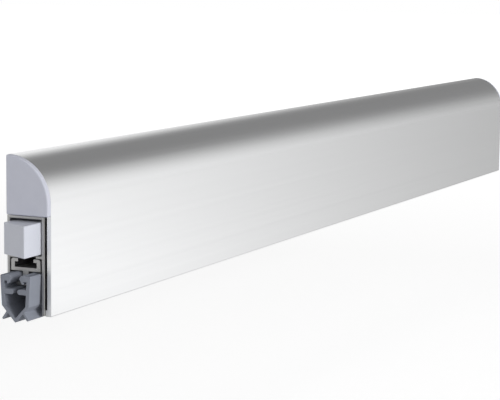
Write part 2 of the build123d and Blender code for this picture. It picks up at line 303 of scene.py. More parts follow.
def mirrored(shell: Shell, plane: float = 0.0) -> Shell:
    """The same shell on the other side of a plane across X, with its faces still pointing outwards.

    Args:
        shell: The shell to mirror.
        plane: The plane's place on X.

    Returns:
        The mirrored shell.
    """
    flip = np.array([-1.0, 1.0, 1.0])
    vertices = shell.vertices * flip + np.array([2 * plane, 0, 0])
    normals = None if shell.normals is None else shell.normals * flip
    return Shell(vertices, shell.quads[:, ::-1], [cap[::-1] for cap in shell.caps], normals)


def joined(first: Shell, second: Shell) -> Shell:
    """Two shells with exact normals as one.

    Args:
        first: The shell whose vertices come first.
        second: The other shell.

    Returns:
        Both shells in one.
    """
    shift = len(first.vertices)
    return Shell(
        np.concatenate((first.vertices, second.vertices)),
        np.concatenate((first.quads, second.quads + shift)),
        first.caps + [[index + shift for index in cap] for cap in second.caps],
        np.concatenate((first.normals, second.normals)),
    )


def show(name: str, data: Any) -> bpy.types.Object:
    """Put data into the scene as a new object at the origin.

    Args:
        name: Name of the object.
        data: Its mesh, light or camera.

    Returns:
        The new object.
    """
    made = bpy.data.objects.new(name, data)
    bpy.context.scene.collection.objects.link(made)
    return made


def piece(name: str, shell: Shell, material: bpy.types.Material) -> bpy.types.Object:
    """Put a shell into the scene as a dressed object at the origin.

    Args:
        name: Name of the new piece.
        shell: Its surface.
        material: Its finish.

    Returns:
        The new object.
    """
    mesh = bpy.data.meshes.new(name)
    mesh.from_pydata(shell.vertices.tolist(), [], shell.quads.tolist() + shell.caps)
    smooth = np.ones(len(mesh.polygons), bool)
    if shell.normals is None:
        smooth[len(shell.quads):] = False
    mesh.polygons.foreach_set("use_smooth", smooth)
    mesh.materials.append(material)
    mesh.update()
    if shell.normals is not None:
        mesh.normals_split_custom_set_from_vertices(shell.normals.tolist())
    log.info("%s: %d faces", name, len(mesh.polygons))
    return show(name, mesh)


def seat(made: bpy.types.Object, body: Body, node: str) -> None:
    """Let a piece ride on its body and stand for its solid.

    Args:
        made: The piece.
        body: The body that carries it.
        node: The solid that it stands for.
    """
    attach(made, body.value)
    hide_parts(node)


class Nodes:
    """Short ways to add and join the nodes of one shader tree."""

    def __init__(self, tree: bpy.types.NodeTree) -> None:
        """Start from an empty tree."""
        self.tree = tree
        tree.nodes.clear()

    def add(self, kind: str, **settings: Any) -> bpy.types.Node:
        """Add a node and set its options.

        Args:
            kind: Blender's name for this kind of node.
            settings: Its options by name.

        Returns:
            The new node.
        """
        node = self.tree.nodes.new(kind)
        for name, value in settings.items():
            setattr(node, name, value)
        return node

    def put(self, node: bpy.types.Node, socket: str | int, value: Any) -> None:
        """Feed an input from another node's output, or set it to a plain value.

        Args:
            node: The node with the input.
            socket: Name or number of the input.
            value: An output or a plain value.
        """
        if isinstance(value, Socket):
            self.tree.links.new(value, node.inputs[socket])
        else:
            node.inputs[socket].default_value = value

    def fill(self, node: bpy.types.Node, values: Sequence[Any]) -> Socket:
        """Feed a node's first inputs in order.

        Args:
            node: The node with the inputs.
            values: Outputs or plain values.

        Returns:
            The node's first output.
        """
        for index, value in enumerate(values):
            self.put(node, index, value)
        return node.outputs[0]

    def math(self, operation: str, *values: Any) -> Socket:
        """The result of a math node on outputs or numbers."""
        return self.fill(self.add("ShaderNodeMath", operation=operation), values)

    def product(self, first: Any, *others: Any) -> Socket:
        """All the given outputs or numbers multiplied together.

        Args:
            first: The first factor.
            others: The other factors.

        Returns:
            The output that holds the product.
        """
        for other in others:
            first = self.math("MULTIPLY", first, other)
        return first

    def length(self, first: Any, second: Any) -> Socket:
        """The length that two parts at right angles give: the root of the sum of their squares."""
        squares = (self.math("POWER", part, 2.0) for part in (first, second))
        return self.math("SQRT", self.math("ADD", *squares))

    def spread(self, value: Any, ramp: Pair, to_low: Any = 0.0, to_high: Any = 1.0) -> Socket:
        """A value moved from one range to another and clamped."""
        return self.fill(self.add("ShaderNodeMapRange"), (value, *ramp, to_low, to_high))

    def mix(self, kind: Mixed, share: Any, first: Any, second: Any) -> Socket:
        """Two values or two colours mixed by a share.

        Args:
            kind: Whether values or colours are mixed.
            share: How much of the second goes in.
            first: The result at a share of 0.
            second: The result at a share of 1.

        Returns:
            The output that holds the mix.
        """
        data_type, first_input, second_input, result = kind.value
        node = self.add("ShaderNodeMix", data_type=data_type)
        self.put(node, 0, share)
        self.put(node, first_input, first)
        self.put(node, second_input, second)
        return node.outputs[result]

    def noise(self, vector: Any, scale: Any, detail: float) -> Socket:
        """Values of a noise texture.

        Args:
            vector: The place.
            scale: How fine the noise is.
            detail: How many finer layers it has.

        Returns:
            The output that holds the values.
        """
        node = self.add("ShaderNodeTexNoise")
        self.put(node, "Vector", vector)
        self.put(node, "Scale", scale)
        self.put(node, "Detail", detail)
        return node.outputs[0]

    def parts(self, vector: Any) -> list[Socket]:
        """The three parts of a vector.

        Args:
            vector: An output that holds the vector.

        Returns:
            The outputs for x, y and z.
        """
        split = self.add("ShaderNodeSeparateXYZ")
        self.put(split, 0, vector)
        return list(split.outputs)

    def place(self) -> list[Socket]:
        """The three object coordinates of a point."""
        return self.parts(self.add("ShaderNodeTexCoord").outputs["Object"])

    def vector(self, x: Any, y: Any, z: Any) -> Socket:
        """A vector from three values."""
        return self.fill(self.add("ShaderNodeCombineXYZ"), (x, y, z))


def effect(name: str, inputs: dict[str, float], outputs: Sequence[str]) -> tuple[Nodes, Any, Any]:
    """Start a shared effect as a node group.

    Args:
        name: Name of the group.
        inputs: Input names with their usual values.
        outputs: Output names.

    Returns:
        The group's nodes, its input node and its output node.
    """
    tree = bpy.data.node_groups.new(name, "ShaderNodeTree")
    nodes = Nodes(tree)
    for label, value in inputs.items():
        socket = tree.interface.new_socket(label, in_out="INPUT", socket_type="NodeSocketFloat")
        socket.default_value = value
    for label in outputs:
        tree.interface.new_socket(label, in_out="OUTPUT", socket_type="NodeSocketFloat")
    return nodes, nodes.add("NodeGroupInput"), nodes.add("NodeGroupOutput")


@dataclass(frozen=True)
class Effects:
    """Sizes of the effects that several finishes share, and the ways to build them."""

    noise_range: Pair = (0.3, 0.7)
    fine_detail: float = 3.0
    broad_detail: float = 2.0
    streak_stretch: float = 0.002
    broad_share: float = 0.16
    cloud_share: float = 0.05
    end_facing: Pair = (0.9, 0.97)
    saw_axle: Pair = (90 * MM, 120 * MM)
    wander: float = 7.0
    wander_fineness: float = 700.0
    sine_range: Pair = (-1.0, 1.0)

    def streaks(self) -> bpy.types.NodeTree:
        """Long fine lines that an extrusion die leaves: noise that is stretched along the strip.

        Returns:
            The group, with a fine and a broad mask.
        """
        nodes, given, result = effect("extrusion_streaks", {"Fineness": 2500.0}, ("Mask", "Broad"))
        x, y, z = nodes.place()
        spot = nodes.vector(nodes.math("MULTIPLY", x, self.streak_stretch), y, z)
        fineness = given.outputs["Fineness"]
        fine = nodes.noise(spot, fineness, self.fine_detail)
        broad = nodes.noise(spot, nodes.math("MULTIPLY", fineness, self.broad_share), self.broad_detail)
        nodes.put(result, "Mask", nodes.spread(fine, self.noise_range))
        nodes.put(result, "Broad", nodes.spread(broad, self.noise_range))
        return nodes.tree

    def saw(self) -> bpy.types.NodeTree:
        """Arcs of a saw blade on faces that look along the strip: a sine of the distance from its axle.

        Returns:
            The group, with a mask of the end faces and the height of the arcs.
        """
        nodes, given, result = effect("saw_marks", {"Pitch": 0.45 * MM}, ("End", "Height"))
        facing, _, _ = nodes.parts(nodes.add("ShaderNodeNewGeometry").outputs["Normal"])
        end = nodes.spread(nodes.math("ABSOLUTE", facing), self.end_facing)
        _, y, z = nodes.place()
        across = nodes.math("SUBTRACT", y, self.saw_axle[0])
        up = nodes.math("SUBTRACT", z, self.saw_axle[1])
        turns = nodes.math("DIVIDE", nodes.length(across, up), given.outputs["Pitch"])
        stray = nodes.noise(nodes.vector(0.0, y, z), self.wander_fineness, self.broad_detail)
        shift = nodes.math("MULTIPLY", stray, self.wander)
        wave = nodes.math("SINE", nodes.math("MULTIPLY_ADD", turns, 2 * math.pi, shift))
        nodes.put(result, "End", end)
        nodes.put(result, "Height", nodes.math("MULTIPLY", nodes.spread(wave, self.sine_range), end))
        return nodes.tree

    def grain(self) -> bpy.types.NodeTree:
        """Fine grain and a wide cloudiness: two sizes of noise.

        Returns:
            The group, with the grain and the cloudiness.
        """
        nodes, given, result = effect("surface_grain", {"Fineness": 3000.0}, ("Grain", "Cloud"))
        spot = nodes.add("ShaderNodeTexCoord").outputs["Object"]
        fineness = given.outputs["Fineness"]
        fine = nodes.noise(spot, fineness, self.fine_detail)
        cloud = nodes.noise(spot, nodes.math("MULTIPLY", fineness, self.cloud_share), self.fine_detail)
        nodes.put(result, "Grain", fine)
        nodes.put(result, "Cloud", nodes.spread(cloud, self.noise_range))
        return nodes.tree


@dataclass(frozen=True)
class Groups:
    """The shared effects, each built once."""

    streaks: bpy.types.NodeTree
    saw: bpy.types.NodeTree
    grain: bpy.types.NodeTree


def start_material(name: str) -> tuple[bpy.types.Material, Nodes, bpy.types.Node]:
    """A new material with a Principled shader on its output.

    Args:
        name: Name of the material.

    Returns:
        The material, its nodes and its shader.
    """
    material = bpy.data.materials.new(name)
    material.use_nodes = True
    nodes = Nodes(material.node_tree)
    shader = nodes.add("ShaderNodeBsdfPrincipled")
    output = nodes.add("ShaderNodeOutputMaterial")
    nodes.put(output, "Surface", shader.outputs[0])
    return material, nodes, shader


def use(nodes: Nodes, group: bpy.types.NodeTree, socket: str, value: float) -> Any:
    """Place a shared effect in a material with its own value.

    Args:
        nodes: The material's nodes.
        group: The effect.
        socket: Name of its input.
        value: The value for that input.

    Returns:
        The outputs of the effect by name.
    """
    node = nodes.add("ShaderNodeGroup", node_tree=group)
    nodes.put(node, socket, value)
    return node.outputs


def bump(nodes: Nodes, shader: bpy.types.Node, height: Any, depth: float) -> None:
    """Let a height stand out of the surface.

    Args:
        nodes: The material's nodes.
        shader: Its shader.
        height: The height, from 0 to 1.
        depth: How far a height of 1 stands out.
    """
    node = nodes.add("ShaderNodeBump")
    nodes.put(node, "Distance", depth)
    nodes.put(node, "Height", height)
    nodes.put(shader, "Normal", node.outputs[0])


@dataclass(frozen=True)
class Aluminium:
    """Extruded aluminium with die lines along it and saw marks on its cut ends."""

    name: str
    light: Colour
    dark: Colour
    cut: Colour
    roughness: float
    line_roughness: float
    cut_roughness: float
    fineness: float
    line_depth: float
    cut_depth: float
    broad_part: float = 0.65
    saw_pitch: float = 0.42 * MM

    def material(self, groups: Groups) -> bpy.types.Material:
        """Build the finish.

        Args:
            groups: The shared effects.

        Returns:
            The new material.
        """
        material, nodes, shader = start_material(self.name)
        lines = use(nodes, groups.streaks, "Fineness", self.fineness)
        saw = use(nodes, groups.saw, "Pitch", self.saw_pitch)
        fine_tone = nodes.math("MULTIPLY", lines["Mask"], 1 - self.broad_part)
        tone = nodes.math("MULTIPLY_ADD", lines["Broad"], self.broad_part, fine_tone)
        side = nodes.mix(Mixed.COLOUR, tone, self.dark, self.light)
        end = nodes.mix(Mixed.COLOUR, saw["Height"], self.dark, self.cut)
        nodes.put(shader, "Base Color", nodes.mix(Mixed.COLOUR, saw["End"], side, end))
        rough = nodes.math("MULTIPLY_ADD", lines["Mask"], self.line_roughness, self.roughness)
        nodes.put(shader, "Roughness", nodes.mix(Mixed.VALUE, saw["End"], rough, self.cut_roughness))
        nodes.put(shader, "Metallic", 1.0)
        side_height = nodes.math("MULTIPLY", lines["Mask"], nodes.math("SUBTRACT", 1.0, saw["End"]))
        cut_height = nodes.math("MULTIPLY", saw["Height"], self.cut_depth / self.line_depth)
        bump(nodes, shader, nodes.math("ADD", side_height, cut_height), self.line_depth)
        return material


@dataclass(frozen=True)
class Moulding:
    """Moulded plastic or extruded rubber: a faint cloudiness in its colour and a fine matt grain."""

    name: str
    light: Colour
    dark: Colour
    roughness: float
    fineness: float
    depth: float
    specular: float = 0.5
    grain_roughness: float = 0.12

    def material(self, groups: Groups) -> bpy.types.Material:
        """Build the finish.

        Args:
            groups: The shared effects.

        Returns:
            The new material.
        """
        material, nodes, shader = start_material(self.name)
        grain = use(nodes, groups.grain, "Fineness", self.fineness)
        nodes.put(shader, "Base Color", nodes.mix(Mixed.COLOUR, grain["Cloud"], self.dark, self.light))
        rough = nodes.math("MULTIPLY_ADD", grain["Grain"], self.grain_roughness, self.roughness)
        nodes.put(shader, "Roughness", rough)
        nodes.put(shader, "Specular IOR Level", self.specular)
        bump(nodes, shader, grain["Grain"], self.depth)
        return material


@dataclass(frozen=True)
class Steel:
    """Plated or rolled steel with a fine mottle."""

    name: str
    light: Colour
    dark: Colour
    roughness: float
    fineness: float
    cloud_roughness: float = 0.15

    def material(self, groups: Groups) -> bpy.types.Material:
        """Build the finish.

        Args:
            groups: The shared effects.

        Returns:
            The new material.
        """
        material, nodes, shader = start_material(self.name)
        grain = use(nodes, groups.grain, "Fineness", self.fineness)
        nodes.put(shader, "Base Color", nodes.mix(Mixed.COLOUR, grain["Cloud"], self.dark, self.light))
        rough = nodes.math("MULTIPLY_ADD", grain["Cloud"], self.cloud_roughness, self.roughness)
        nodes.put(shader, "Roughness", rough)
        nodes.put(shader, "Metallic", 1.0)
        return material


class Finishes:
    """The materials of the strip by slot."""

    ANODISED = Aluminium(
        name="satin_anodised",
        light=(0.90, 0.905, 0.91, 1),
        dark=(0.87, 0.875, 0.88, 1),
        cut=(0.93, 0.935, 0.935, 1),
        roughness=0.23,
        line_roughness=0.04,
        cut_roughness=0.40,
        fineness=2600.0,
        line_depth=0.002 * MM,
        cut_depth=0.006 * MM,
    )
    MILL = Aluminium(
        name="mill_finish",
        light=(0.58, 0.58, 0.57, 1),
        dark=(0.46, 0.46, 0.455, 1),
        cut=(0.47, 0.47, 0.465, 1),
        roughness=0.36,
        line_roughness=0.14,
        cut_roughness=0.46,
        fineness=1800.0,
        line_depth=0.008 * MM,
        cut_depth=0.010 * MM,
    )
    CAP = Moulding(
        name="cap_moulding",
        light=(0.65, 0.665, 0.755, 1),
        dark=(0.63, 0.645, 0.735, 1),
        roughness=0.46,
        fineness=5200.0,
        depth=0.010 * MM,
    )
    TRIGGER = Moulding(
        name="trigger_moulding",
        light=(0.70, 0.72, 0.795, 1),
        dark=(0.68, 0.70, 0.775, 1),
        roughness=0.42,
        fineness=5200.0,
        depth=0.006 * MM,
    )
    RUBBER = Moulding(
        name="seal_rubber",
        light=(0.290, 0.309, 0.360, 1),
        dark=(0.262, 0.280, 0.327, 1),
        roughness=0.68,
        fineness=3600.0,
        depth=0.012 * MM,
        specular=0.18,
    )
    SLIDER = Moulding(
        name="slider_moulding",
        light=(0.022, 0.022, 0.024, 1),
        dark=(0.016, 0.016, 0.017, 1),
        roughness=0.48,
        fineness=4200.0,
        depth=0.008 * MM,
    )
    SPRING = Steel(
        name="spring_strip",
        light=(0.60, 0.60, 0.61, 1),
        dark=(0.48, 0.48, 0.50, 1),
        roughness=0.22,
        fineness=1600.0,
    )
    ZINC = Steel(
        name="zinc_plate",
        light=(0.74, 0.74, 0.72, 1),
        dark=(0.62, 0.62, 0.61, 1),
        roughness=0.30,
        fineness=2400.0,
    )

    def __init__(self) -> None:
        """Build the shared effects and every finish once."""
        effects = Effects()
        groups = Groups(effects.streaks(), effects.saw(), effects.grain())
        self.by_slot = {slot: getattr(self, slot.name).material(groups) for slot in Slot}

    def __getitem__(self, slot: Slot) -> bpy.types.Material:
        """The material of a slot."""
        return self.by_slot[slot]


@dataclass
class HousingChannel:
    """The housing extrusion: its solid, with the edges along it and round its ends softened."""

    node: str = "housing_profile"
    soft_edge: float = 0.25 * MM
    round_profile: float = 0.5
    merge_gap: float = 0.001 * MM
    straight: float = 0.999
    level_turn: float = 1.0
    sharp_turn: float = 40.0
    steps: int = 3

    def soft_edges(self, form: bmesh.types.BMesh) -> list[bmesh.types.BMEdge]:
        """Find the sharp edges that run along the housing or lie in one of its two end planes.

        Args:
            form: The housing, with its flat faces whole.

        Returns:
            The edges to round.
        """
        low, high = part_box(self.node)
        chosen = []
        for edge in form.edges:
            first, last = (vertex.co for vertex in edge.verts)
            along = abs(last.x - first.x) > self.straight * edge.calc_length()
            ends = all(min(spot.x - low.x, high.x - spot.x) < self.merge_gap for spot in (first, last))
            if (along or ends) and edge.calc_face_angle(0.0) > math.radians(self.sharp_turn):
                chosen.append(edge)
        return chosen

    def build(self, finishes: Finishes) -> None:
        """Merge a copy of the solid's triangles into whole faces, round its edges and dress it.

        Args:
            finishes: The materials by slot.
        """
        form = bmesh.new()
        form.from_mesh(frame["nodes"][self.node].data)
        bmesh.ops.remove_doubles(form, verts=form.verts, dist=self.merge_gap)
        bmesh.ops.dissolve_limit(
            form, angle_limit=math.radians(self.level_turn), verts=form.verts, edges=form.edges
        )
        rounded = bmesh.ops.bevel(
            form, geom=self.soft_edges(form), offset=self.soft_edge, offset_type="OFFSET",
            segments=self.steps, profile=self.round_profile, affect="EDGES", clamp_overlap=False,
        )
        for face in rounded["faces"]:
            face.smooth = True
        mesh = bpy.data.meshes.new("housing_channel")
        form.to_mesh(mesh)
        form.free()
        mesh.materials.clear()
        mesh.materials.append(finishes[Slot.MILL])
        log.info("%s: %d faces", mesh.name, len(mesh.polygons))
        seat(show(mesh.name, mesh), Body.HOUSING, self.node)


@dataclass
class CoverStrip:
    """The clip-on cover: flat front, quarter-round top, hook behind and foot below."""

    wall: float = 1.4 * MM
    rear_gap: float = 0.5 * MM
    hook_front: float = 4.2 * MM
    hook_wall: float = 1.2 * MM
    hook_reach: float = 2.2 * MM
    hook_top: float = 44.8 * MM
    foot_height: float = 2.0 * MM
    foot_reach: float = 2.0 * MM
    front_edge: float = 0.3 * MM
    edge: float = 0.16 * MM
    crease: float = 0.22 * MM
    rim: float = 0.12 * MM
    outer_steps: int = 72
    inner_steps: int = 48
    hook_steps: int = 5

    def outline(self) -> Outline:
        """The wall's cross-section with its quarter circle, hook and foot.

        Returns:
            The cross-section in Y and Z.
        """
        low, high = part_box("cover_profile")
        front, top = low.y, high.z
        outer = high.y - low.y
        inner = outer - self.wall
        centre = (-self.rear_gap, top - outer)
        hook_rear = self.hook_front - self.hook_wall
        rear_angle, rear_root = circle_at(centre, inner, -hook_rear)
        front_angle, front_root = circle_at(centre, inner, -self.hook_front)
        hook_end = self.hook_reach - self.hook_front
        hook_base = self.hook_top - self.hook_wall
        return rounded_outline((
            corner(front, low.z, self.front_edge),
            arc(centre, outer, FRONTWARDS, UPWARDS, self.outer_steps)[:-1],
            corner(-self.rear_gap, top, self.edge),
            corner(-self.rear_gap, top - self.wall, self.edge),
            arc(centre, inner, UPWARDS, rear_angle, self.hook_steps)[1:-1],
            corner(-hook_rear, rear_root, self.edge),
            corner(-hook_rear, self.hook_top, self.crease),
            corner(hook_end, self.hook_top, self.crease),
            corner(hook_end, hook_base, self.crease),
            corner(-self.hook_front, hook_base, self.crease),
            corner(-self.hook_front, front_root, self.edge),
            arc(centre, inner, front_angle, FRONTWARDS, self.inner_steps)[1:],
            corner(front + self.wall, low.z + self.foot_height, self.crease),
            corner(front + self.foot_reach, low.z + self.foot_height, self.crease),
            corner(front + self.foot_reach, low.z, self.edge),
        ))

    def build(self, finishes: Finishes) -> None:
        """Carry the cross-section along the strip and dress it.

        Args:
            finishes: The materials by slot.
        """
        low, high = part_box("cover_profile")
        shell = prism(self.outline(), ALONG_X, low.x, high.x, self.rim, self.rim)
        made = piece("cover_strip", shell, finishes[Slot.ANODISED])
        seat(made, Body.HOUSING, "cover_profile")


@dataclass
class EndCaps:
    """The two moulded caps: a quarter-round plate with a spigot behind it."""

    thickness: float = 1.8 * MM
    rear_gap: float = 0.5 * MM
    cover_wall: float = 1.4 * MM
    spigot_gap: float = 0.15 * MM
    spigot_wall: float = 1.6 * MM
    spigot_rear: float = 4.6 * MM
    spigot_lift: float = 0.5 * MM
    root: float = 0.3 * MM
    edge: float = 0.5 * MM
    rim: float = 0.45 * MM
    spigot_edge: float = 0.3 * MM
    spigot_rim: float = 0.25 * MM
    seam: float = 0.05 * MM
    last_angle: float = 93.0
    plate_steps: int = 64
    spigot_steps: int = 24

    def plate(self) -> Outline:
        """The plate's outline: the cover's quarter circle above a straight front and base.

        Returns:
            The outline in Y and Z. Its circle stops short of the top, where a rounded corner follows.
        """
        low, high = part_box("near_end_cap")
        outer = high.y - low.y
        centre = (-self.rear_gap, high.z - outer)
        return rounded_outline((
            corner(low.y, low.z, self.edge),
            arc(centre, outer, FRONTWARDS, self.last_angle, self.plate_steps),
            corner(high.y, high.z, self.edge),
            corner(high.y, low.z, self.edge),
        ))

    def spigot(self) -> Outline:
        """The spigot's outline: a band that follows the cover's inner face.

        Returns:
            The outline in Y and Z.
        """
        low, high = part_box("near_end_cap")
        outer = high.y - low.y
        centre = (-self.rear_gap, high.z - outer)
        band = outer - self.cover_wall - self.spigot_gap
        core = band - self.spigot_wall
        front = centre[0] - band
        base = low.z + self.spigot_lift
        band_angle, band_top = circle_at(centre, band, -self.spigot_rear)
        core_angle, core_top = circle_at(centre, core, -self.spigot_rear)
        return rounded_outline((
            corner(front, base, self.spigot_edge),
            arc(centre, band, FRONTWARDS, band_angle, self.spigot_steps)[:-1],
            corner(-self.spigot_rear, band_top, self.spigot_edge),
            corner(-self.spigot_rear, core_top, self.spigot_edge),
            arc(centre, core, core_angle, FRONTWARDS, self.spigot_steps)[1:],
            corner(front + self.spigot_wall, base, self.spigot_edge),
        ))

    def build(self, finishes: Finishes) -> None:
        """Make the near cap, mirror it for the far end and dress both.

        Args:
            finishes: The materials by slot.
        """
        low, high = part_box("near_end_cap")
        plate_end = low.x + self.thickness
        plate = prism(self.plate(), ALONG_X, low.x, plate_end, self.rim, self.seam)
        spigot = prism(self.spigot(), ALONG_X, plate_end - self.root, high.x, self.seam, self.spigot_rim)
        cap = joined(plate, spigot)
        for name, shell in (("near_end_cap", cap), ("far_end_cap", mirrored(cap))):
            made = piece(f"{name}_moulding", shell, finishes[Slot.CAP])
            seat(made, Body.HOUSING, name)


@dataclass
class DropBar:
    """The sliding bar: a slot on top, a stem and an anchor foot below."""

    wall: float = 1.3 * MM
    floor: float = 1.1 * MM
    slot_height: float = 1.6 * MM
    lip: float = 1.1 * MM
    stem: float = 2.0 * MM
    foot_width: float = 6.4 * MM
    foot_thickness: float = 1.2 * MM
    shoulder: float = 0.8 * MM
    edge: float = 0.15 * MM
    rim: float = 0.10 * MM

    def outline(self) -> Outline:
        """One side from the mouth of the slot down to the foot, then the other, then the slot.

        Returns:
            The cross-section in Y and Z.
        """
        low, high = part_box("drop_bar")
        half = (high.y - low.y) / 2
        slot_half = half - self.wall
        mouth = slot_half - self.lip
        slot_top = high.z - self.lip
        slot_floor = slot_top - self.slot_height
        base = slot_floor - self.floor
        foot_top = low.z + self.foot_thickness
        side = np.concatenate((
            corner(slot_half, slot_top, self.edge),
            corner(mouth, slot_top, self.edge),
            corner(mouth, high.z, self.edge),
            corner(half, high.z, self.shoulder),
            corner(half, base, self.edge),
            corner(self.stem / 2, base, self.edge),
            corner(self.stem / 2, foot_top, self.edge),
            corner(self.foot_width / 2, foot_top, self.edge),
            corner(self.foot_width / 2, low.z, self.edge),
        ))
        pocket = corner(slot_half, slot_floor, self.edge)
        rows = np.concatenate((pocket, side, mirrored_rows(side), mirrored_rows(pocket)))
        rows[:, 0] += (low.y + high.y) / 2
        return rounded_outline((rows,))

    def build(self, finishes: Finishes) -> None:
        """Carry the cross-section along the strip and dress it.

        Args:
            finishes: The materials by slot.
        """
        low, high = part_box("drop_bar")
        shell = prism(self.outline(), ALONG_X, low.x, high.x, self.rim, self.rim)
        made = piece("drop_bar_extrusion", shell, finishes[Slot.MILL])
        seat(made, Body.DROP_SEAL, "drop_bar")


@dataclass
class SealStrip:
    """The rubber seal: clamping lips, two fingers, a V-shaped chamber and two fins."""

    wall: float = 1.2 * MM
    taper: float = 0.55 * MM
    vee_wall: float = 0.92 * MM
    shoulder: float = 3.5 * MM
    tip_drop: float = 1.55 * MM
    brim_step: float = 0.25 * MM
    groove: float = 0.23 * MM
    lip_crown: float = 2.95 * MM
    lip_nose: float = 1.4 * MM
    lip_nose_drop: float = 1.2 * MM
    lip_tip: float = 2.45 * MM
    lip_tip_width: float = 0.4 * MM
    lip_thickness: float = 2.0 * MM
    lip_drop: float = 2.9 * MM
    finger_drop: float = 4.35 * MM
    finger_thickness: float = 1.6 * MM
    finger_spacing: float = 1.4 * MM
    fin_root: float = 4.2 * MM
    fin_length: float = 2.67 * MM
    fin_thickness: float = 0.7 * MM
    fin_round: float = 0.28 * MM
    fin_turn: float = 102.0
    wall_round: float = 0.4 * MM
    tip_round: float = 0.3 * MM
    edge: float = 0.14 * MM
    rim: float = 0.10 * MM
    finger_steps: int = 16
    nose_steps: int = 12

    def outline(self) -> Outline:
        """One half of the outer side and one half of the inner side, each mirrored.

        The fin leaves the V at its turn from the V's slope. The lip's nose is the circle through
        its crown and its nose that is level at the crown.

        Returns:
            The cross-section in Y and Z.
        """
        low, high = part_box("seal_profile")
        top, tip = high.z, -self.tip_drop
        brim = (high.y - low.y) / 2
        base = brim - self.taper
        slope = np.array([base, self.shoulder - tip])
        slope /= np.linalg.norm(slope)
        turn = math.atan2(slope[1], slope[0]) - math.radians(self.fin_turn)
        fin = np.array([math.cos(turn), math.sin(turn)])
        side = np.array([-fin[1], fin[0]]) * self.fin_thickness / 2
        gap = self.fin_thickness / 2 / math.sin(math.radians(self.fin_turn))
        foot = np.array([0.0, tip])
        fin_end = foot + slope * self.fin_root + fin * self.fin_length
        outer = np.concatenate((
            corner(self.lip_crown, top, 0.0),
            corner(brim - self.wall, top - self.brim_step - self.groove, self.edge),
            corner(brim - self.wall, top - self.brim_step, self.edge),
            corner(brim, top - self.brim_step, self.wall_round),
            corner(base, self.shoulder, self.wall_round),
            corner(*(foot + slope * (self.fin_root + gap)), self.edge),
            corner(*(fin_end + side), self.fin_round),
            corner(*(fin_end - side), self.fin_round),
            corner(*(foot + slope * (self.fin_root - gap)), self.edge),
            corner(0.0, tip, self.tip_round),
        ))
        lean = self.taper / (top - self.brim_step - self.shoulder)
        inside = base - self.wall
        vee_tip = tip + self.vee_wall / slope[0]
        vee_top = vee_tip + inside * slope[1] / slope[0]
        lip_root = top - self.lip_thickness
        lip_base = top - self.lip_drop
        lip_rear = self.lip_tip + self.lip_tip_width
        finger_top = top - self.finger_drop
        finger_base = finger_top - self.finger_thickness
        finger_round = self.finger_thickness / 2
        finger_centre = (self.finger_spacing / 2 + finger_round, finger_top - finger_round)
        roll = self.lip_crown - self.lip_nose
        nose = (roll**2 + self.lip_nose_drop**2) / (2 * self.lip_nose_drop)
        nose_angle = math.degrees(math.atan2(nose - self.lip_nose_drop, -roll))
        inner = np.concatenate((
            corner(0.0, vee_tip, self.wall_round),
            corner(inside, vee_top, self.wall_round),
            corner(inside + lean * (finger_base - vee_top), finger_base, self.edge),
            arc(finger_centre, finger_round, DOWNWARDS, UPWARDS, self.finger_steps),
            corner(inside + lean * (finger_top - vee_top), finger_top, self.edge),
            corner(inside + lean * (lip_root - vee_top), lip_root, self.edge),
            corner(lip_rear, lip_root, self.edge),
            corner(lip_rear, lip_base + self.lip_tip_width / 2, self.edge),
            corner(self.lip_tip, lip_base, self.edge),
            arc((self.lip_crown, top - nose), nose, nose_angle, UPWARDS, self.nose_steps)[:-1],
        ))
        rows = np.concatenate((outer, mirrored_rows(outer[:-1]), mirrored_rows(inner)[:-1], inner))
        rows[:, 0] += (low.y + high.y) / 2
        return rounded_outline((rows,))

    def build(self, finishes: Finishes) -> None:
        """Carry the cross-section along the strip and dress it.

        Args:
            finishes: The materials by slot.
        """
        low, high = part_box("seal_profile")
        shell = prism(self.outline(), ALONG_X, low.x, high.x, self.rim, self.rim)
        made = piece("rubber_seal", shell, finishes[Slot.RUBBER])
        seat(made, Body.DROP_SEAL, "seal_profile")


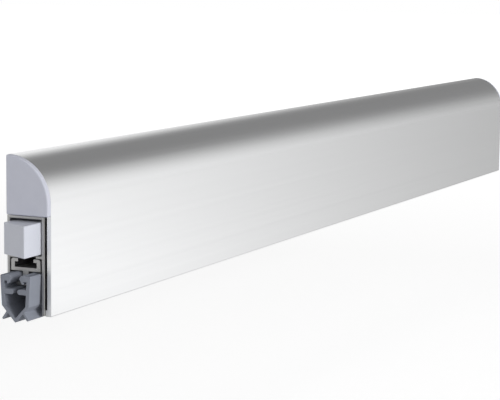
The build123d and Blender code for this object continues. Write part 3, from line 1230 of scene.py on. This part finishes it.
@dataclass
class TriggerTrain:
    """The push button with its slanted end, and the adjusting screw behind it."""

    slant: float = 5.4 * MM
    edge: float = 0.35 * MM
    rim: float = 0.30 * MM
    pitch: float = 0.8 * MM
    thread_depth: float = 0.45 * MM
    samples: int = 8
    around: int = 28

    def button(self) -> Outline:
        """The button seen from above: its front edge reaches out further than its rear edge.

        Returns:
            The outline in X and Y.
        """
        low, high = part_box("trigger_button")
        return rounded_outline((
            corner(low.x, low.y, self.edge),
            corner(high.x, low.y, self.edge),
            corner(high.x, high.y, self.edge),
            corner(low.x + self.slant, high.y, self.edge),
        ))

    def thread(self) -> Shell:
        """A screw thread: the radius falls by a triangle wave of the turns made and the pitches passed.

        Over the last pitch at each end it falls to the root of the thread.

        Returns:
            The shell of the screw.
        """
        low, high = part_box("adjusting_screw")
        radius = (high.z - low.z) / 2
        rings = int((high.x - low.x) / self.pitch * self.samples)
        x = np.linspace(low.x, high.x, rings)
        turn = np.linspace(0, 1, self.around, endpoint=False)
        phase = (x[:, None] - low.x) / self.pitch - turn[None, :]
        wave = np.abs(2 * (phase - np.floor(phase)) - 1)
        ends = np.minimum(x - low.x, high.x - x)[:, None] / self.pitch
        reach = radius - self.thread_depth * np.maximum(wave, 1 - np.clip(ends, 0, 1))
        angle = 2 * np.pi * turn
        vertices = np.stack(
            (
                np.broadcast_to(x[:, None], reach.shape),
                (low.y + high.y) / 2 + reach * np.cos(angle),
                (low.z + high.z) / 2 + reach * np.sin(angle),
            ),
            axis=2,
        )
        return tube(vertices)

    def build(self, finishes: Finishes) -> None:
        """Make the button and the threaded screw and dress them.

        Args:
            finishes: The materials by slot.
        """
        low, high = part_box("trigger_button")
        block = prism(self.button(), ALONG_Z, low.z, high.z, self.rim, self.rim)
        made = piece("push_button", block, finishes[Slot.TRIGGER])
        seat(made, Body.TRIGGER, "trigger_button")
        made = piece("threaded_screw", self.thread(), finishes[Slot.ZINC])
        seat(made, Body.TRIGGER, "adjusting_screw")


@dataclass
class LeafSpring:
    """A bowed spring strip: a tail in the slider and two halves that bend down with the drop bar."""

    place: str
    tail: float = 6.0 * MM
    travel: float = 6.0 * MM
    slider_gap: float = 0.4 * MM
    parting: float = 0.1 * MM
    holder_length: float = 10.0 * MM
    thickness: float = 0.5 * MM
    edge: float = 0.1 * MM
    edge_steps: int = 4
    steps: int = 60

    @property
    def node(self) -> str:
        """The name of the solid that the strip stands for."""
        return f"{self.place}_leaf_spring"

    @property
    def middle(self) -> float:
        """The place on X where the bow is lowest."""
        low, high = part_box(self.node)
        return (low.x + high.x) / 2

    @property
    def half_span(self) -> float:
        """How far it is along X from the face of the slider or anchor to the middle."""
        return self.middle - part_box(self.node)[0].x - self.tail

    def section(self, half_width: float) -> Outline:
        """The strip's cross-section, with rounded edges.

        Args:
            half_width: Half of its width.

        Returns:
            The cross-section about its own middle.
        """
        half = self.thickness / 2
        return rounded_outline((
            corner(-half_width, -half, self.edge),
            corner(half_width, -half, self.edge),
            corner(half_width, half, self.edge),
            corner(-half_width, half, self.edge),
        ), self.edge_steps)

    def strip(self, first: float, last: float, mirror: bool) -> Shell:
        """A stretch of one half of the bow, carried along its middle line.

        The middle line is level over the tail. Over the half span it falls by the drop times 2 t^2
        up to half-way and 1 - 2 (1 - t)^2 after it, with t the share of the half span passed.

        Args:
            first: Where the stretch starts, counted from the face of the slider or anchor.
            last: Where it ends, counted the same way.
            mirror: Whether the half is the one on the far side of the bow.

        Returns:
            The shell of the stretch.
        """
        low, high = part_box(self.node)
        way = np.linspace(first, last, self.steps)
        share = np.clip(way / self.half_span, 0, 1)
        fall = np.where(share < 0.5, 2 * share**2, 1 - 2 * (1 - share) ** 2)
        height = high.z - self.thickness / 2 - fall * (high.z - low.z - self.thickness)
        slope = np.gradient(height, way)
        level = 1 / np.sqrt(1 + slope**2)
        across, up = self.section((high.y - low.y) / 2).points.T
        vertices = np.stack(
            (
                (low.x + self.tail + way)[:, None] - (slope * level)[:, None] * up,
                np.broadcast_to((low.y + high.y) / 2 + across, (len(way), len(up))),
                height[:, None] + level[:, None] * up,
            ),
            axis=2,
        )
        shell = tube(vertices)
        return mirrored(shell, self.middle) if mirror else shell

    def build(self, finishes: Finishes) -> None:
        """Make the tail, which goes with the slider, and both halves of the bow, which are baked in place
        and ride on no body.

        Args:
            finishes: The materials by slot.
        """
        steel = finishes[Slot.SPRING]
        reach = self.travel + self.slider_gap
        tail = self.strip(-self.tail, reach - self.parting, False)
        seat(piece(f"{self.node}_tail", tail, steel), Body.TRIGGER, self.node)
        for side, first, mirror in (("moving", reach, False), ("fixed", -self.tail, True)):
            half = self.strip(first, self.half_span, mirror)
            made = piece(f"{self.node}_{side}_half", half, steel)
            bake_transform(made)
            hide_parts(self.node)


class PlainSolids:
    """Pieces whose solids show as they are, in their own finishes."""

    def dress(self, finishes: Finishes) -> None:
        """Give each solid that still shows the material of its slot.

        Args:
            finishes: The materials by slot.
        """
        for part in frame["record"]["subparts"]:
            solid = frame["nodes"][part["node"]]
            if solid.hide_render:
                continue
            solid.data.materials.clear()
            solid.data.materials.append(finishes[Slot(part["material_slot"])])
            log.info("%s: %s", part["node"], part["material_slot"])


@dataclass
class Lamp:
    """A soft square lamp that looks at a point of the strip and that no metal mirrors."""

    name: str
    place: Point
    target: Point
    side: float
    power: float

    def hang(self) -> None:
        """Put the lamp into the scene, hidden from glossy rays."""
        data = bpy.data.lights.new(self.name, "AREA")
        data.shape = "SQUARE"
        data.size = self.side
        data.energy = self.power
        made = show(self.name, data)
        made.location = self.place
        away = np.array(self.target) - np.array(self.place)
        made.rotation_euler = (
            math.atan2(math.hypot(away[0], away[1]), -away[2]),
            0.0,
            math.atan2(away[1], away[0]) - math.pi / 2,
        )
        made.visible_glossy = False


@dataclass
class Studio:
    """A pale floor, a bright horizon under a dim ceiling, a soft lamp and the camera.

    To glossy rays the floor has a brightness that follows the place on it, and the world one that
    follows the direction. A pair of numbers is the range over which a brightness changes.
    """

    floor_height: float = -60 * MM
    floor_half: float = 6.0
    floor_colour: Colour = (0.80, 0.80, 0.80, 1)
    floor_roughness: float = 0.9
    floor_gloss: float = 0.32
    near_lift: float = 0.60
    far_lift: float = 0.84
    lift_reach: Pair = (0.3, 1.6)
    fan_core: float = 0.15
    floor_end_glow: float = 0.25
    floor_side_glow: float = 0.88
    floor_fan: Pair = (0.08, 0.74)
    floor_square: Pair = (0.82, 0.97)
    near_gain: float = 1.18
    far_gain: float = 0.90
    gain_reach: Pair = (0.25, 1.3)
    far_rise: float = 1.45
    rise_fan: Pair = (0.30, 0.52)
    rise_reach: Pair = (0.6, 1.8)
    floor_behind: Pair = (-0.1, 0.1)
    floor_front: Pair = (-0.55, -0.25)
    square_share: float = 0.55
    left_share: float = 0.75
    left_ramp: Pair = (-0.4, 0.1)
    end_glow: float = 0.20
    side_glow: float = 1.10
    side_ramp: Pair = (0.05, 0.48)
    side_fade: float = 2.4
    ceiling_share: float = 0.61
    ceiling_ramp: Pair = (-0.02, 0.78)
    square_ramp: Pair = (0.72, 0.97)
    front_glow: float = 0.92
    behind_ramp: Pair = (-0.2, 0.2)
    front_ramp: Pair = (-0.6, -0.2)
    least_glow: float = 0.24
    back_glow: float = 0.95
    back_ramp: Pair = (0.26, 0.46)
    ambient: float = 0.64
    ambient_top: float = 0.18
    ambient_ramp: Pair = (0.0, 0.9)
    left_fill: float = 1.95
    fill_ramp: Pair = (-1.0, 0.0)
    focal_pixels: float = 1794.78
    picture_width: float = 500.0
    sensor: float = 36.0
    near_clip: float = 10 * MM
    far_clip: float = 50.0
    camera_place: Point = (-684.040 * MM, -288.085 * MM, 103.425 * MM)
    camera_yaw: float = 0.4291
    camera_pitch: float = -0.1274
    camera_roll: float = 0.0114
    lamps: tuple[Lamp, ...] = (
        Lamp(
            name="front_softbox",
            place=(-0.38, -1.43, 0.25),
            target=(0.0, 0.0, 0.02),
            side=0.8,
            power=13.2,
        ),
    )

    def floor_glow(self, nodes: Nodes) -> Socket:
        """How bright the floor is to glossy rays.

        It grows with the share of the distance that lies across the strip, is less straight to the
        side and past the trigger end, and changes with the distance. Past the trigger end, on the
        side of the door, it is at least as bright as at the sides.

        Args:
            nodes: The floor's nodes.

        Returns:
            The output that holds the brightness.
        """
        x, y, _ = nodes.place()
        reach = nodes.length(x, y)
        aside = nodes.math("DIVIDE", nodes.math("ABSOLUTE", y), nodes.length(reach, self.fan_core))
        rise = nodes.spread(aside, self.rise_fan, 1.0, self.far_rise)
        glow = nodes.product(
            nodes.spread(aside, self.floor_fan, self.floor_end_glow, self.floor_side_glow),
            nodes.spread(aside, self.floor_square, 1.0, self.square_share),
            nodes.spread(x, self.left_ramp, self.left_share, 1.0),
            nodes.spread(reach, self.gain_reach, self.near_gain, self.far_gain),
            nodes.spread(reach, self.rise_reach, 1.0, rise),
        )
        past_end = nodes.product(
            nodes.spread(y, self.floor_behind, 0.0, self.floor_side_glow),
            nodes.spread(x, self.floor_front, 1.0, 0.0),
        )
        return nodes.math("MAXIMUM", glow, past_end)

    def floor_material(self) -> bpy.types.Material:
        """White to the camera but for the strip's shadow, glowing to glossy rays and open from below.

        Returns:
            The new material.
        """
        material, nodes, shader = start_material("floor_white")
        path = nodes.add("ShaderNodeLightPath").outputs
        dull = tuple(self.floor_gloss * part for part in self.floor_colour[:3]) + (1,)
        base = nodes.mix(Mixed.COLOUR, path["Is Glossy Ray"], self.floor_colour, dull)
        nodes.put(shader, "Base Color", base)
        nodes.put(shader, "Roughness", self.floor_roughness)
        nodes.put(shader, "Specular IOR Level", 0.0)
        x, y, _ = nodes.place()
        lift = nodes.spread(nodes.length(x, y), self.lift_reach, self.near_lift, self.far_lift)
        straight = nodes.math("MAXIMUM", path["Is Camera Ray"], path["Is Transmission Ray"])
        plain = nodes.math("MULTIPLY", straight, lift)
        gloss = nodes.math("MULTIPLY", path["Is Glossy Ray"], self.floor_glow(nodes))
        nodes.put(shader, "Emission Color", WHITE)
        nodes.put(shader, "Emission Strength", nodes.math("ADD", gloss, plain))
        under = nodes.add("ShaderNodeNewGeometry").outputs["Backfacing"]
        nodes.put(shader, "Alpha", nodes.math("SUBTRACT", 1.0, under))
        return material

    def lay_floor(self) -> None:
        """Lay the wide floor below the strip."""
        h, z = self.floor_half, self.floor_height
        mesh = bpy.data.meshes.new("pale_floor")
        mesh.from_pydata([(-h, -h, z), (h, -h, z), (h, h, z), (-h, h, z)], [], [(0, 1, 2, 3)])
        mesh.materials.append(self.floor_material())
        floor = show("pale_floor", mesh)

    def world_glow(self, nodes: Nodes, direction: Sequence[Socket]) -> Socket:
        """How bright the world is to glossy rays.

        It is bright at both sides, less so straight to the side, and dimmer along the strip, above
        and towards the trigger end. Behind the door's face it has a least brightness.

        Args:
            nodes: The world's nodes.
            direction: The three parts of the direction.

        Returns:
            The output that holds the brightness.
        """
        x, y, z = direction
        aside = nodes.math("ABSOLUTE", y)
        sides = nodes.math("POWER", nodes.spread(aside, self.side_ramp), self.side_fade)
        glow = nodes.product(
            nodes.math("MULTIPLY_ADD", sides, self.side_glow - self.end_glow, self.end_glow),
            nodes.spread(z, self.ceiling_ramp, 1.0, self.ceiling_share),
            nodes.spread(aside, self.square_ramp, 1.0, self.square_share),
            nodes.spread(x, self.left_ramp, self.left_share, 1.0),
        )
        past_end = nodes.product(
            nodes.spread(y, self.behind_ramp, 0.0, self.front_glow),
            nodes.spread(x, self.front_ramp, 1.0, 0.0),
        )
        back = nodes.spread(y, self.back_ramp, self.least_glow, self.back_glow)
        return nodes.math("MAXIMUM", nodes.math("MAXIMUM", glow, past_end), back)

    def light_world(self) -> None:
        """Set up the world: white to the camera, and its own glow to glossy rays.

        Matt surfaces get a soft light that is dimmer from above and stronger from the trigger end.
        """
        world = bpy.data.worlds.new("studio")
        bpy.context.scene.world = world
        world.use_nodes = True
        nodes = Nodes(world.node_tree)
        direction = nodes.parts(nodes.add("ShaderNodeTexCoord").outputs["Generated"])
        ambient = nodes.product(
            nodes.spread(direction[2], self.ambient_ramp, self.ambient, self.ambient_top),
            nodes.spread(direction[0], self.fill_ramp, self.left_fill, 1.0),
        )
        path = nodes.add("ShaderNodeLightPath").outputs
        shiny = nodes.math("MAXIMUM", path["Is Glossy Ray"], path["Is Transmission Ray"])
        more = nodes.math("SUBTRACT", self.world_glow(nodes, direction), ambient)
        level = nodes.math("MULTIPLY_ADD", shiny, more, ambient)
        to_white = nodes.math("SUBTRACT", 1.0, level)
        strength = nodes.math("MULTIPLY_ADD", path["Is Camera Ray"], to_white, level)
        background = nodes.add("ShaderNodeBackground")
        nodes.put(background, "Color", WHITE)
        nodes.put(background, "Strength", strength)
        output = nodes.add("ShaderNodeOutputWorld")
        nodes.put(output, "Surface", background.outputs[0])

    def set_camera(self) -> None:
        """A long lens that looks along the strip from its trigger end, a little from above."""
        data = bpy.data.cameras.new("camera")
        data.sensor_width = self.sensor
        data.lens = self.focal_pixels / self.picture_width * self.sensor
        data.clip_start = self.near_clip
        data.clip_end = self.far_clip
        camera = show("camera", data)
        camera.location = self.camera_place
        level = Euler((math.pi / 2 + self.camera_pitch, 0.0, self.camera_yaw - math.pi / 2)).to_matrix()
        camera.rotation_euler = (level @ Matrix.Rotation(self.camera_roll, 3, "Z")).to_euler()
        bpy.context.scene.camera = camera

    def build(self) -> None:
        """Set up the whole studio."""
        bpy.context.scene.view_settings.view_transform = "Standard"
        self.lay_floor()
        self.light_world()
        for lamp in self.lamps:
            lamp.hang()
        self.set_camera()


def main() -> None:
    """Build every piece, dress the solids and set up the studio."""
    logging.basicConfig(level=logging.INFO, format="%(name)s: %(message)s")
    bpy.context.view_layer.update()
    finishes = Finishes()
    HousingChannel().build(finishes)
    CoverStrip().build(finishes)
    EndCaps().build(finishes)
    DropBar().build(finishes)
    SealStrip().build(finishes)
    TriggerTrain().build(finishes)
    for place in ("near", "far"):
        LeafSpring(place).build(finishes)
    PlainSolids().dress(finishes)
    Studio().build()


if __name__ == "__main__":
    main()
